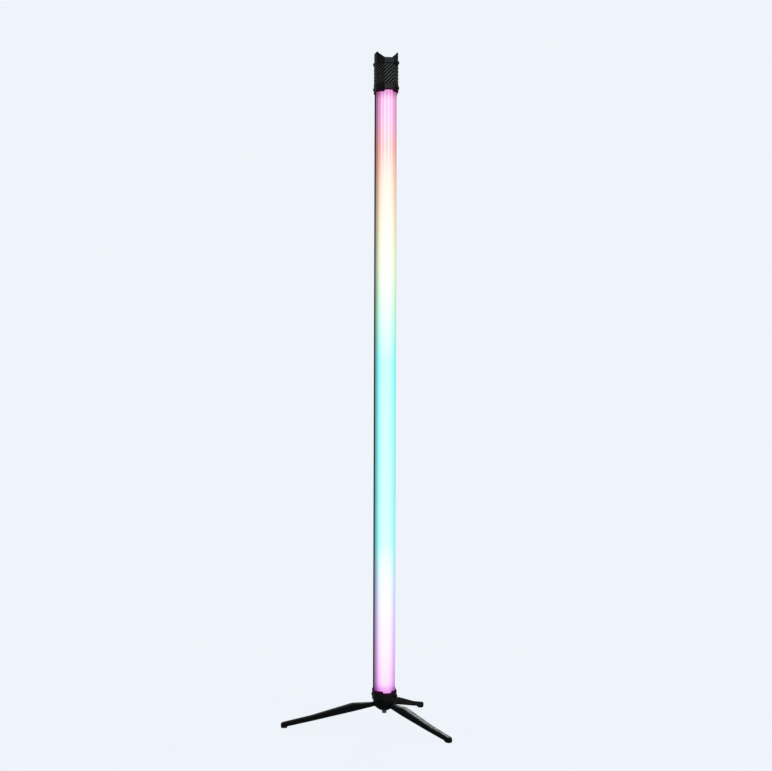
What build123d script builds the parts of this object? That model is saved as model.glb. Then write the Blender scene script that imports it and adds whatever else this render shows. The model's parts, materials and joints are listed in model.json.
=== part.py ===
from build123d import *
import math
import os

# A 1.2 m battery LED light tube that stands upright on a folding three-leg floor stand.
# Row frame in millimetres: +Z up along the tube, origin on the tube's axis at floor level, and -Y the way
# the light shines. The stand is turned a little from the light, and its first leg points roughly to -X.

# ---- Driving dimensions: heights above the floor ----
SCREW_FOOT_Z = 23.2  # lower face of the clamp screw's head
HUB_BOTTOM_Z = 29.0
PIVOT_Z = 40.3
HUB_ROOF_Z = 44.2  # underside of the hub's top plate, where a deployed leg stops
HUB_TOP_Z = 47.5
CAP_BOTTOM_Z = 48.5
BOTTOM_RIM_Z = 66.3
TOP_RIM_Z = 1170.4
GRIP_BOTTOM_Z = 1185.4
GRIP_TOP_Z = 1221.9
CROWN_NOTCH_Z = 1233.2
EAR_TIP_Z = 1244.0
EAR_FALL = 4.0  # how far the ears' tops fall from front to back

# ---- Driving dimensions: the tube's section ----
TUBE_R = 19.6  # outside of the round diffuser, and half the width of the flat-sided housing
DIFFUSER_WALL = 1.5
DIFFUSER_EDGE_Y = -1.0  # where the diffuser meets the housing
HOUSING_WALL = 1.4
BACK_WALL = 1.6
BACK_HALF_WIDTH = 8.6  # half the flat of the housing's back
COOLING_GROOVE = (1.1, 0.7)  # width and depth of the grooves along the housing's back
COOLING_PITCH = 2.6
WEB_FRONT_Y = -1.8
WEB_BACK_Y = -0.6
EDGE_RIB_X = (16.9, 18.2)  # the rib inside each of the diffuser's edges, from its inner side into the wall
EDGE_RIB_DEPTH = 1.5

# ---- Driving dimensions: the end caps' eight-sided outline ----
CAP_APOTHEM = 21.3  # from the axis to each of the eight faces
CROWN_INSET = 0.7
CAP_WALL = 3.0
CORE_INSET = 3.2
CORE_WALL = 3.4
CORE_FLOOR = 14.0  # solid height at the top core's upper end
CORNER_R = 0.8
NOTCH_DEPTH = 3.2
NOTCH_HALF_WIDTH = 7.0
NOTCH_SLOPE = 2.0
NOTCH_REACH = 6.0  # how far the notch cuts to either side of the tube's front surface
SKIRT = 3.0  # how much further a collar covers the housing than the diffuser
SKIRT_FRONT_Y = -2.0

# ---- Driving dimensions: the stand ----
FOOT_REACH = 192.0
KNEE_REACH = 60.0
HUB_R = 20.8
PIVOT_REACH = 15.5
LUG_R = 3.7
LUG_WIDTH = 8.0
KNEE_WIDTH = 14.0
TIP_WIDTH = 10.4
LEG_AZIMUTHS = (172.2, 292.2, 52.2)
LEG_CORNER = 1.7
LEG_WALL = 2.2
LEG_TOP_WALL = 3.8
POCKET_REACH = (40.0, FOOT_REACH - 20.0)
FOOT_PAD_TOP_Z = 2.2

# ---- Fits and fasteners ----
GAP = 0.1  # between pieces that only touch
PAST = 30.0  # half the size of a cutter that passes right across the light
THREAD_R = 3.15  # outside of the 1/4-20 screw
INSERT_BORE_R = 3.25
INSERT_R = 4.8
INSERT_FIT = 0.05
INSERT_POCKET = 10.0
SCREW_HEAD_R = 3.4
SCREW_HEAD_H = 4.0
SCREW_SEAT = 22.3  # distance from the axis to a cap screw's seat
SCREW_ANGLES = (135, 315)  # on two opposite diagonal faces of a cap
SCREW_SHANK_R = 1.95
SCREW_HOLE_R = 2.05
SCREW_LENGTH = 7.5
SOCKET_R = 1.75
SOCKET_DEPTH = 2.2
BOSS_R = 4.3
BOTTOM_SCREW_Z = 56.5
COLLAR_SCREW_Z = 1177.4
CROWN_SCREW_Z = 1223.6
PIN_R = 1.5
PIN_HOLE_R = 1.55
CLAMP_HEAD_R = 4.3
CLAMP_FLUTES = 16
CLIP_R = 4.9

# ---- Worked out from the dimensions above ----
GASKET = 1.0
BOTTOM_PLUG_TOP_Z = 60.0
HOUSING_BOTTOM_Z = BOTTOM_PLUG_TOP_Z + GASKET
CORE_BOTTOM_Z = TOP_RIM_Z + NOTCH_DEPTH + 1.1
HOUSING_TOP_Z = CORE_BOTTOM_Z - GASKET
CORE_TOP_Z = CROWN_NOTCH_Z - 4.3
HOUSING_LENGTH = HOUSING_TOP_Z - HOUSING_BOTTOM_Z
HALF_SIDE_RATIO = math.tan(math.radians(22.5))  # half an octagon's side over its apothem

# ---- The leg's cross-sections from hub to tip: reach, underside height, top height and width ----
LEG_STATIONS = (
    (21.8, 36.2, PIVOT_Z + LUG_R, LUG_WIDTH),
    (28.5, 35.0, 43.5, 11.4),
    (KNEE_REACH, 28.2, 42.4, KNEE_WIDTH),
    (137.0, 12.0, 21.2, 12.2),
    (FOOT_REACH - 12.5, 3.5, 12.2, TIP_WIDTH + 0.2),
    (FOOT_REACH - 11.4, FOOT_PAD_TOP_Z, 12.0, TIP_WIDTH + 0.2),
    (FOOT_REACH - 2.5, FOOT_PAD_TOP_Z, 10.0, TIP_WIDTH),
    (FOOT_REACH, FOOT_PAD_TOP_Z, 7.6, TIP_WIDTH - 2.2),
)

# ---- The control panel on the housing's back ----
PANEL_BOTTOM_Z = 1062.0
PANEL_TOP_Z = 1146.0
PANEL_HALF_WIDTH = 7.4
PANEL_FLANGE = 0.6
PANEL_FACE_Y = 20.2
FLANGE_FACE_Y = 17.8
PANEL_BACK_Y = 16.6
BUTTON_R = 3.2
BUTTON_LIP = 0.9  # how far a key's flange reaches past its cap
BUTTON_BACK_Y = 15.4
BUTTON_PITCH = 9.5
FIRST_BUTTON_Z = 1108.0
BUTTON_NAMES = ("power_button", "mode_button", "plus_button", "minus_button")
BUTTON_FACE_Y = 20.9
WINDOW_Z = (1116.0, 1142.0)
WINDOW_HALF_WIDTH = 5.6
WINDOW_BACK_Y = 19.2
WINDOW_LAP = 1.1  # how far the window overlaps its opening
DISPLAY_FACE_Y = 16.2
SWITCH_TIP_Y = 14.7
PORT_Z = 1069.0
PORT_RECESS_Y = 19.0
PORT_RECESS_X = 6.3
PORT_RECESS_HALF_HEIGHT = 3.6
FLAP_FACE_Y = 20.4
SOCKET_MOUTH_Y = 18.8
SOCKET_BACK_Y = 12.4


def block(x, y, z):
    """A box between pairs of coordinates."""
    size = Box(x[1] - x[0], y[1] - y[0], z[1] - z[0])
    return Pos((x[0] + x[1]) / 2, (y[0] + y[1]) / 2, (z[0] + z[1]) / 2) * size


def rod(radius, low, high, x=0.0, y=0.0):
    """An upright cylinder between two heights."""
    return Pos(x, y, (low + high) / 2) * Cylinder(radius, high - low)


def rod_along_y(radius, front, back, x, z):
    """A cylinder along Y between two depths."""
    return Pos(x, (front + back) / 2, z) * Rot(90, 0, 0) * Cylinder(radius, back - front)


def upright(sketch, low, high):
    """A sketch in the XY plane made solid between two heights."""
    return extrude(Pos(0, 0, low) * sketch, amount=high - low)


def profile(points):
    """A closed face through points in the XY plane."""
    return make_face(Polyline(*points, close=True))


def across(points, plane, half_width):
    """A closed profile in a plane, made solid to both sides of it."""
    return extrude(plane * profile(points), amount=half_width, both=True)


def octagon_corners(apothem):
    """A regular octagon's corners, anticlockwise from the front face's right end."""
    half_side = apothem * HALF_SIDE_RATIO
    right = [(half_side, -apothem), (apothem, -half_side), (apothem, half_side), (half_side, apothem)]
    return right + [(-x, y) for x, y in reversed(right)]


def cap_outline(inset=0.0, corner=CORNER_R):
    """The end caps' eight-sided outline, drawn in by inset."""
    face = profile(octagon_corners(CAP_APOTHEM - inset))
    if corner:
        face = fillet(face.vertices(), corner)
    return face


def tube_outline(grow=0.0):
    """The closed outline of diffuser and housing together."""
    r = TUBE_R + grow
    back = BACK_HALF_WIDTH + grow * HALF_SIDE_RATIO
    front = Circle(r) & Pos(0, -r / 2) * Rectangle(4 * r, r)
    rear = profile([(-r, 0), (-r, back), (-back, r), (back, r), (r, back), (r, 0)])
    return front + rear


def rim_notch(rim_z, up):
    """The sloped notch in a collar's front, where the diffuser shows further into the cap."""
    base = rim_z + up * NOTCH_DEPTH
    mouth = rim_z - up * 1.0
    wide = NOTCH_HALF_WIDTH + NOTCH_SLOPE
    points = [
        (-NOTCH_HALF_WIDTH, base),
        (NOTCH_HALF_WIDTH, base),
        (wide, rim_z),
        (wide, mouth),
        (-wide, mouth),
        (-wide, rim_z),
    ]
    return Pos(0, -TUBE_R, 0) * across(points, Plane.XZ, NOTCH_REACH)


def screw_places(z):
    """The places and outward directions of a cap's screws."""
    return [Rot(0, 0, a) * Pos(0, 0, z) * Rot(0, 90, 0) for a in SCREW_ANGLES]


def screw_bosses(z, grow=0.0):
    """Round bosses through a cap's wall, each the seat of a screw, made larger all round by grow."""
    foot = CAP_APOTHEM - CAP_WALL - 0.5 - grow
    top = SCREW_SEAT + grow
    boss = Pos(0, 0, (foot + top) / 2) * Cylinder(BOSS_R + grow, top - foot)
    return [place * boss for place in screw_places(z)]


def screw_holes(z):
    """Cutters for a cap's screws, from past their tips to past their seats."""
    deep = SCREW_SEAT - SCREW_LENGTH - 1.0
    far = SCREW_SEAT + 5.0
    hole = Pos(0, 0, (deep + far) / 2) * Cylinder(SCREW_HOLE_R, far - deep)
    return [place * hole for place in screw_places(z)]


def cap_screws(z):
    """A cap's two screws, with hex sockets in their heads."""
    head = Pos(0, 0, SCREW_HEAD_H / 2) * Cylinder(SCREW_HEAD_R, SCREW_HEAD_H)
    head = fillet(head.edges().sort_by(Axis.Z)[-1], 0.6)
    shank = Pos(0, 0, -SCREW_LENGTH / 2) * Cylinder(SCREW_SHANK_R, SCREW_LENGTH)
    socket = Pos(0, 0, SCREW_HEAD_H - SOCKET_DEPTH) * extrude(RegularPolygon(SOCKET_R, 6), amount=3)
    screw = Pos(0, 0, SCREW_SEAT) * (head + shank - socket)
    return Compound(children=[place * screw for place in screw_places(z)])


def groove_band(outline_inset, z, depth, height):
    """A ring cutter that leaves a shallow groove round a cap."""
    outer = cap_outline(outline_inset - 1.0)
    inner = cap_outline(outline_inset + depth)
    return upright(outer - inner, z - height / 2, z + height / 2)


# ---- The light's structure ----


def back_housing():
    """The flat-sided aluminium extrusion behind the diffuser, with an inner web and cooling grooves."""
    inner_half = TUBE_R - HOUSING_WALL
    inner_back = TUBE_R - BACK_WALL
    corner = BACK_HALF_WIDTH - 0.6
    web_half = TUBE_R - DIFFUSER_WALL - 0.3
    outside = tube_outline() & Pos(0, PAST + DIFFUSER_EDGE_Y) * Rectangle(2 * PAST, 2 * PAST)
    web = Pos(0, (WEB_FRONT_Y + WEB_BACK_Y) / 2) * Rectangle(2 * web_half, WEB_BACK_Y - WEB_FRONT_Y)
    channel = profile([
        (-inner_half, WEB_BACK_Y),
        (inner_half, WEB_BACK_Y),
        (inner_half, corner),
        (corner, inner_back),
        (-corner, inner_back),
        (-inner_half, corner),
    ])
    section = outside - channel + web
    width, depth = COOLING_GROOVE
    for k in range(-3, 4):
        section -= Pos(k * COOLING_PITCH, TUBE_R) * Rectangle(width, 2 * depth)
    body = upright(section, HOUSING_BOTTOM_Z, HOUSING_TOP_Z)
    opening = block(
        (-PANEL_HALF_WIDTH - GAP, PANEL_HALF_WIDTH + GAP),
        (inner_back - 1, TUBE_R + 1),
        (PANEL_BOTTOM_Z - GAP, PANEL_TOP_Z + GAP),
    )
    return body - opening


def diffuser():
    """The frosted half-round cover, with a rib inside each edge that rests on the housing's web."""
    ring = Circle(TUBE_R) - Circle(TUBE_R - DIFFUSER_WALL)
    section = ring & Pos(0, DIFFUSER_EDGE_Y - GAP / 2 - PAST) * Rectangle(2 * PAST, 2 * PAST)
    inner, outer = EDGE_RIB_X
    middle_y = WEB_FRONT_Y - GAP - EDGE_RIB_DEPTH / 2
    for side in (-1, 1):
        section += Pos(side * (inner + outer) / 2, middle_y) * Rectangle(outer - inner, EDGE_RIB_DEPTH)
    return upright(section, HOUSING_BOTTOM_Z, HOUSING_TOP_Z)


def end_gasket(low):
    """A rubber gasket of the tube's outline, with openings for light and wires."""
    light_window = Pos(0, -10.5) * Rectangle(20, 8)
    wire_window = Pos(0, 8.5) * Rectangle(20, 12)
    return upright(tube_outline() - light_window - wire_window, low, low + GASKET)


def bottom_plug():
    """The solid core inside the bottom collar."""
    body = upright(cap_outline(CORE_INSET, 0.5), CAP_BOTTOM_Z, BOTTOM_PLUG_TOP_Z)
    body -= rod(INSERT_R + INSERT_FIT, CAP_BOTTOM_Z - 1, CAP_BOTTOM_Z + 9.0)
    for hole in screw_holes(BOTTOM_SCREW_Z):
        body -= hole
    return body


def bottom_collar():
    """The eight-sided shell at the tube's foot."""
    skirt_z = BOTTOM_RIM_Z + SKIRT
    body = upright(cap_outline(0, 0), CAP_BOTTOM_Z, skirt_z)
    body = chamfer(body.faces().sort_by(Axis.Z)[0].outer_wire().edges(), 0.4)
    body = fillet(body.edges().filter_by(Axis.Z), CORNER_R)
    body += screw_bosses(BOTTOM_SCREW_Z)
    body -= upright(cap_outline(CAP_WALL, 0.5), CAP_BOTTOM_Z - 1, BOTTOM_PLUG_TOP_Z)
    body -= upright(tube_outline(GAP), BOTTOM_PLUG_TOP_Z - 0.5, skirt_z + 1)
    body -= block((-PAST, PAST), (-PAST, SKIRT_FRONT_Y), (BOTTOM_RIM_Z, skirt_z + 1))
    body -= rim_notch(BOTTOM_RIM_Z, -1)
    for hole in screw_holes(BOTTOM_SCREW_Z):
        body -= hole
    return body


def thread_insert(low, high):
    """A knurled brass insert whose smooth bore stands for the 1/4-20 thread."""
    body = rod(INSERT_R, low, high)
    groove_z = (low + high) / 2
    body -= rod(INSERT_R + 1, groove_z - 0.6, groove_z + 0.6) - rod(INSERT_R - 0.7, low, high)
    return body - rod(INSERT_BORE_R, low - 1, high + 1)


def top_core():
    """The moulded core that joins collar, grip and crown, hollow below for the radio board."""
    body = upright(cap_outline(CORE_INSET, 0.5), CORE_BOTTOM_Z, CORE_TOP_Z)
    body -= upright(cap_outline(CORE_INSET + CORE_WALL, 0.5), CORE_BOTTOM_Z - 1, CORE_TOP_Z - CORE_FLOOR)
    body -= rod(INSERT_R + INSERT_FIT, CORE_TOP_Z - INSERT_POCKET, CORE_TOP_Z + 1)
    for hole in screw_holes(COLLAR_SCREW_Z) + screw_holes(CROWN_SCREW_Z):
        body -= hole
    return body


def top_collar():
    """The eight-sided shell round the tube's upper end."""
    skirt_z = TOP_RIM_Z - SKIRT
    body = upright(cap_outline(), skirt_z, GRIP_BOTTOM_Z)
    body -= groove_band(0, COLLAR_SCREW_Z - 0.7, 0.4, 0.9)
    body += screw_bosses(COLLAR_SCREW_Z)
    body -= upright(tube_outline(GAP), skirt_z - 1, CORE_BOTTOM_Z + 0.5)
    body -= upright(cap_outline(CAP_WALL, 0.5), CORE_BOTTOM_Z, GRIP_BOTTOM_Z + 1)
    body -= block((-PAST, PAST), (-PAST, SKIRT_FRONT_Y), (skirt_z - 1, TOP_RIM_Z))
    body -= rim_notch(TOP_RIM_Z, 1)
    for hole in screw_holes(COLLAR_SCREW_Z):
        body -= hole
    return body


def crown():
    """The forked end: two raised side walls with low notches at front and back, and two screw lugs below."""
    apothem = CAP_APOTHEM - CROWN_INSET
    half_side = apothem * HALF_SIDE_RATIO
    tip_x = apothem - 0.4
    body = upright(cap_outline(CROWN_INSET), GRIP_TOP_Z, EAR_TIP_Z)
    body -= groove_band(CROWN_INSET, GRIP_TOP_Z + 0.6, 0.5, 1.2)
    body += screw_bosses(CROWN_SCREW_Z)
    body -= upright(cap_outline(CAP_WALL, 0.5), CROWN_SCREW_Z - BOSS_R - 1, EAR_TIP_Z + 1)
    gap_above = [
        (-half_side, CROWN_NOTCH_Z),
        (half_side, CROWN_NOTCH_Z),
        (tip_x, EAR_TIP_Z),
        (tip_x, EAR_TIP_Z + 5),
        (-tip_x, EAR_TIP_Z + 5),
        (-tip_x, EAR_TIP_Z),
    ]
    for side in (-1, 1):
        end = Pos(0, side * (half_side + 20), 0)
        body -= end * across(gap_above, Plane.XZ, 20.0)
    sky = [
        (-half_side, EAR_TIP_Z),
        (apothem + 2, EAR_TIP_Z - EAR_FALL),
        (apothem + 2, EAR_TIP_Z + 5),
        (-half_side, EAR_TIP_Z + 5),
    ]
    body -= across(sky, Plane.YZ, PAST)
    for hole in screw_holes(CROWN_SCREW_Z):
        body -= hole
    return body


# ---- The ribbed grip ----

RIB_COUNT = 21
RIB_SHARE = 0.51  # a rib's width over the ribs' spacing, across the ribs
GRIP_INSET = 0.9
GRIP_BAND = 1.0  # plain band above and below the ribs


def grip_sleeve():
    """A sleeve with ribs that climb round its eight faces at 45 degrees."""
    low = GRIP_BOTTOM_Z + GAP
    high = GRIP_TOP_Z - GAP
    outer = cap_outline(GRIP_INSET, 0)
    body = upright(outer - cap_outline(CAP_WALL, 0.5), low, high)
    corners = [Vector(x, y, 0) for x, y in octagon_corners(CAP_APOTHEM)]
    sides = list(zip(corners, corners[1:] + corners[:1]))
    perimeter = sum((b - a).length for a, b in sides)
    pitch = perimeter / RIB_COUNT
    band_low = low + GRIP_BAND
    band_high = high - GRIP_BAND
    rib_width = pitch * math.sqrt(0.5) * RIB_SHARE
    along = 0.0
    for a, b in sides:
        length = (b - a).length
        middle = (a + b) / 2
        turn = math.degrees(math.atan2(b.Y - a.Y, b.X - a.X))
        face = Pos(middle.X, middle.Y, 0) * Rot(0, 0, turn)
        window = block(
            (0.35 - length / 2, length / 2 - 0.35),
            (0.0, GRIP_INSET + 0.3),
            (band_low, band_high),
        )
        first = math.floor((band_low - along - length) / pitch)
        last = math.ceil((band_high - along) / pitch)
        for k in range(first, last + 1):
            start_z = along + k * pitch
            centre = Pos(0, GRIP_INSET / 2, start_z + length / 2)
            rib = centre * Rot(0, -45, 0) * Box(90, GRIP_INSET + 0.2, rib_width) & window
            if rib is not None and rib.solids():
                body += face * rib
        along += length
    for lug in screw_bosses(CROWN_SCREW_Z, 0.15):
        body -= lug
    return body


# ---- Inside the tube ----

LED_PITCH = 12.5
LED_BOARD_FRONT_Y = -3.0
CELL_R = 9.1
CELL_LENGTH = 65.0
CELL_GAP = 1.0
CELL_COUNT = 8
CELL_Y = 8.7
CRADLE_Y = (2.8, 7.8)
CRADLE_LENGTH = 14.0
CRADLE_MARGIN = 8.0
BATTERY_BOTTOM_Z = 92.0
BATTERY_TOP_Z = BATTERY_BOTTOM_Z + CELL_COUNT * (CELL_LENGTH + CELL_GAP) - CELL_GAP
DRIVER_BOARD_Z = (700.0, 880.0)
DRIVER_BOARD_Y = (2.0, 3.6)
CONTROL_BOARD_Y = (9.8, 11.2)
RADIO_BOARD_Y = (3.0, 4.2)
RADIO_BOARD_HALF_WIDTH = 11.0
STANDOFF_X = 12.0
STANDOFF_MARGIN = 5.0
COIL_R = 5.5
COIL_HEIGHT = 6.0
CAPACITOR_R = 4.0
CAPACITOR_HEIGHT = 8.5
# The flat parts on the driver board: their sides, height, distance up the board and length.
FLAT_PARTS = (
    ((-8, 8), 2.4, 60, 24),
    ((-5, 5), 1.2, 96, 10),
    ((-11, -3), 1.5, 118, 6),
    ((-11, -3), 1.5, 130, 6),
    ((-11, -3), 1.5, 142, 6),
    ((3, 13), 6.0, 158, 8),
)


def led_board():
    """The long aluminium circuit board on the housing's web."""
    return block(
        (-12.0, 12.0),
        (LED_BOARD_FRONT_Y, WEB_FRONT_Y),
        (HOUSING_BOTTOM_Z + 1, HOUSING_TOP_Z - 1),
    )


def led_emitters():
    """One row of square LED packages along the board."""
    count = int((HOUSING_LENGTH - 14) / LED_PITCH)
    first = HOUSING_BOTTOM_Z + (HOUSING_LENGTH - (count - 1) * LED_PITCH) / 2
    package = Pos(0, LED_BOARD_FRONT_Y - 0.7, 0) * Box(5, 1.4, 5)
    return Compound(children=[Pos(0, 0, first + k * LED_PITCH) * package for k in range(count)])


def battery_cells():
    """Eight 18650 cells end to end."""
    cells = []
    for k in range(CELL_COUNT):
        low = BATTERY_BOTTOM_Z + k * (CELL_LENGTH + CELL_GAP)
        cells.append(rod(CELL_R, low, low + CELL_LENGTH, y=CELL_Y))
    return Compound(children=cells)


def cell_links():
    """The welded tabs between neighbouring cells."""
    links = []
    for k in range(CELL_COUNT - 1):
        low = BATTERY_BOTTOM_Z + (k + 1) * CELL_LENGTH + k * CELL_GAP
        links.append(rod(4.0, low, low + CELL_GAP, y=CELL_Y))
    return Compound(children=links)


def battery_cradles():
    """Saddles that hold the row of cells inside the housing."""
    front, back = CRADLE_Y
    saddle = Pos(0, (front + back) / 2) * Rectangle(2 * (TUBE_R - HOUSING_WALL) - 0.4, back - front)
    saddle -= Pos(0, CELL_Y) * Circle(CELL_R + GAP)
    lowest = BATTERY_BOTTOM_Z + CRADLE_MARGIN
    span = BATTERY_TOP_Z - CRADLE_MARGIN - lowest
    halves = []
    for k in range(0, CELL_COUNT + 1, 2):
        middle = lowest + k * span / CELL_COUNT
        halves += upright(saddle, middle - CRADLE_LENGTH / 2, middle + CRADLE_LENGTH / 2).solids()
    return Compound(children=halves)


def standoff_places():
    """Where the driver board is screwed down, as (x, z)."""
    heights = (DRIVER_BOARD_Z[0] + STANDOFF_MARGIN, DRIVER_BOARD_Z[1] - STANDOFF_MARGIN)
    return [(side * STANDOFF_X, z) for z in heights for side in (-1, 1)]


def driver_board():
    """The power and LED driver board behind the web."""
    board = block((-15.0, 15.0), DRIVER_BOARD_Y, DRIVER_BOARD_Z)
    for x, z in standoff_places():
        board -= rod_along_y(1.6, 0.0, 5.0, x, z)
    return board


def driver_standoffs():
    """Spacers that hold the driver board off the web."""
    spacers = [rod_along_y(2.6, WEB_BACK_Y, DRIVER_BOARD_Y[0], x, z) for x, z in standoff_places()]
    return Compound(children=spacers)


def driver_parts():
    """Coils, capacitors, chips, a row of power switches and a connector on the driver board."""
    base = DRIVER_BOARD_Y[1]
    z0 = DRIVER_BOARD_Z[0]
    parts = []
    for x in (-7.0, 7.0):
        parts.append(rod_along_y(COIL_R, base, base + COIL_HEIGHT, x, z0 + 24))
    for x in (-9.0, 0.0, 9.0):
        parts.append(rod_along_y(CAPACITOR_R, base, base + CAPACITOR_HEIGHT, x, z0 + 42))
    for x, height, z, length in FLAT_PARTS:
        parts.append(block(x, (base, base + height), (z0 + z, z0 + z + length)))
    return Compound(children=parts)


def wires(low, high, places):
    """Straight insulated wires inside the housing."""
    return Compound(children=[rod(0.8, low, high, x=x, y=y) for x, y in places])


def radio_board():
    """The small radio board stood in the top core's hollow."""
    heights = (CORE_BOTTOM_Z + 1, CORE_TOP_Z - CORE_FLOOR - 2)
    return block((-RADIO_BOARD_HALF_WIDTH, RADIO_BOARD_HALF_WIDTH), RADIO_BOARD_Y, heights)


# ---- The control panel ----


def button_heights():
    return [FIRST_BUTTON_Z - k * BUTTON_PITCH for k in range(len(BUTTON_NAMES))]


def control_panel():
    """The moulded panel in the housing's back, with a retaining flange inside."""
    face = block(
        (-PANEL_HALF_WIDTH, PANEL_HALF_WIDTH),
        (FLANGE_FACE_Y, PANEL_FACE_Y),
        (PANEL_BOTTOM_Z, PANEL_TOP_Z),
    )
    face = fillet(face.edges().filter_by(Axis.Y), 1.0)
    face = chamfer(face.faces().sort_by(Axis.Y)[-1].edges(), 0.4)
    flange_half = PANEL_HALF_WIDTH + PANEL_FLANGE
    flange_z = (PANEL_BOTTOM_Z - 2 * PANEL_FLANGE, PANEL_TOP_Z + 2 * PANEL_FLANGE)
    body = face + block((-flange_half, flange_half), (PANEL_BACK_Y, FLANGE_FACE_Y), flange_z)
    through = (BUTTON_BACK_Y, PANEL_FACE_Y + 1)
    for z in button_heights():
        body -= rod_along_y(BUTTON_R + GAP, through[0], through[1], 0, z)
    lap = WINDOW_LAP + GAP
    half = WINDOW_HALF_WIDTH
    rebate_z = (WINDOW_Z[0] - lap, WINDOW_Z[1] + lap)
    body -= block((-half - lap, half + lap), (WINDOW_BACK_Y, through[1]), rebate_z)
    body -= block((-half, half), through, WINDOW_Z)
    body -= block((-4.8, 4.8), through, (PORT_Z - 2.0, PORT_Z + 2.0))
    body -= block(
        (-PORT_RECESS_X, PORT_RECESS_X),
        (PORT_RECESS_Y, through[1]),
        (PORT_Z - PORT_RECESS_HALF_HEIGHT, PORT_Z + PORT_RECESS_HALF_HEIGHT),
    )
    return body


def display_window():
    """The clear window over the display."""
    half = WINDOW_HALF_WIDTH + WINDOW_LAP
    z = (WINDOW_Z[0] - WINDOW_LAP, WINDOW_Z[1] + WINDOW_LAP)
    return block((-half, half), (WINDOW_BACK_Y, PANEL_FACE_Y), z)


def display_module():
    """The display behind the window."""
    half = WINDOW_HALF_WIDTH - 0.3
    return block((-half, half), (CONTROL_BOARD_Y[1], DISPLAY_FACE_Y), (WINDOW_Z[0] + 0.5, WINDOW_Z[1] - 0.5))


def control_board():
    """The circuit board behind the panel."""
    return block((-8.0, 8.0), CONTROL_BOARD_Y, (PANEL_BOTTOM_Z, PANEL_TOP_Z))


def panel_posts():
    """Four posts that hold the control board at its distance from the panel."""
    posts = []
    for radius, x, z in ((1.6, 6.0, PANEL_TOP_Z - 1.8), (1.2, 6.5, PANEL_BOTTOM_Z + 1.6)):
        for side in (-1, 1):
            posts.append(rod_along_y(radius, CONTROL_BOARD_Y[1], PANEL_BACK_Y, side * x, z))
    return Compound(children=posts)


def tact_switches():
    """The push switches under the buttons."""
    switches = []
    for z in button_heights():
        base = Pos(0, CONTROL_BOARD_Y[1] + 1.5, z) * Box(6, 3.0, 6)
        switches.append(base + rod_along_y(1.5, CONTROL_BOARD_Y[1] + 3.0, SWITCH_TIP_Y, 0, z))
    return Compound(children=switches)


def button(z):
    """A round key with a flange that keeps it behind the panel."""
    cap = rod_along_y(BUTTON_R, BUTTON_BACK_Y + 0.2, BUTTON_FACE_Y, 0, z)
    cap = fillet(cap.edges().sort_by(Axis.Y)[-1], 0.5)
    return cap + rod_along_y(BUTTON_R + BUTTON_LIP, BUTTON_BACK_Y, PANEL_BACK_Y - GAP, 0, z)


def power_socket():
    """The charging socket: a metal shell round its tongue, on the control board."""
    outer = block((-4.5, 4.5), (CONTROL_BOARD_Y[1], SOCKET_MOUTH_Y), (PORT_Z - 1.7, PORT_Z + 1.7))
    inner = block((-4.1, 4.1), (SOCKET_BACK_Y, SOCKET_MOUTH_Y + 1), (PORT_Z - 1.3, PORT_Z + 1.3))
    tongue = block((-3.2, 3.2), (SOCKET_BACK_Y, SOCKET_MOUTH_Y - 1.2), (PORT_Z - 0.35, PORT_Z + 0.35))
    return outer - inner + tongue


def port_cover():
    """The rubber flap over the socket, hinged along its lower edge."""
    back = PORT_RECESS_Y + GAP
    flap = block((-6.1, 6.1), (back, FLAP_FACE_Y), (PORT_Z - 3.3, PORT_Z + 3.4))
    plug = block((-4.0, 4.0), (back - 1.1, back), (PORT_Z - 1.1, PORT_Z + 1.1))
    pull = Pos(0, FLAP_FACE_Y + 0.2, PORT_Z + 2.4) * Box(4.0, 0.8, 1.2)
    return flap + plug + pull


# ---- The stand ----


def at_leg(shape, azimuth):
    """Turns a shape made along +X to a leg's direction."""
    return Rot(0, 0, azimuth) * shape


def hub_body():
    """The cast hub: a top plate over a tapered body with three leg slots."""
    side = [
        (0, HUB_BOTTOM_Z),
        (7.5, HUB_BOTTOM_Z),
        (12.0, HUB_BOTTOM_Z + 2.4),
        (HUB_R - 1.4, HUB_ROOF_Z - 7.0),
        (HUB_R, HUB_ROOF_Z - 4.5),
        (HUB_R, HUB_TOP_Z - 0.3),
        (HUB_R - 0.3, HUB_TOP_Z),
        (0, HUB_TOP_Z),
    ]
    body = revolve(Plane.XZ * profile(side), Axis.Z)
    slot_half = LUG_WIDTH / 2 + 0.35
    inner = PIVOT_REACH - LUG_R - 0.5
    for azimuth in LEG_AZIMUTHS:
        slot = block((inner, 30), (-slot_half, slot_half), (HUB_BOTTOM_Z - 5, HUB_ROOF_Z))
        pin = Pos(PIVOT_REACH, 0, PIVOT_Z) * Rot(90, 0, 0) * Cylinder(PIN_HOLE_R, 60)
        body -= at_leg(slot, azimuth)
        body -= at_leg(pin & block((0, 40), (-8.2, 8.2), (0, 100)), azimuth)
    body -= rod(THREAD_R + GAP, 0, 100)
    body -= rod(CLIP_R + 0.7, HUB_TOP_Z - 2.2, HUB_TOP_Z + 1)
    body -= rod(CLAMP_HEAD_R + 0.6, HUB_BOTTOM_Z - 1, HUB_BOTTOM_Z + 0.6)
    return body


def hub_pad():
    """The rubber disc between hub and light."""
    return rod(HUB_R - 0.2, HUB_TOP_Z, CAP_BOTTOM_Z - 0.02) - rod(6.0, 0, 100)


def leg_pins():
    """Three steel hinge pins across the hub's slots."""
    pin = Pos(PIVOT_REACH, 0, PIVOT_Z) * Rot(90, 0, 0) * Cylinder(PIN_R, 16.0)
    return Compound(children=[at_leg(pin, azimuth) for azimuth in LEG_AZIMUTHS])


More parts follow.
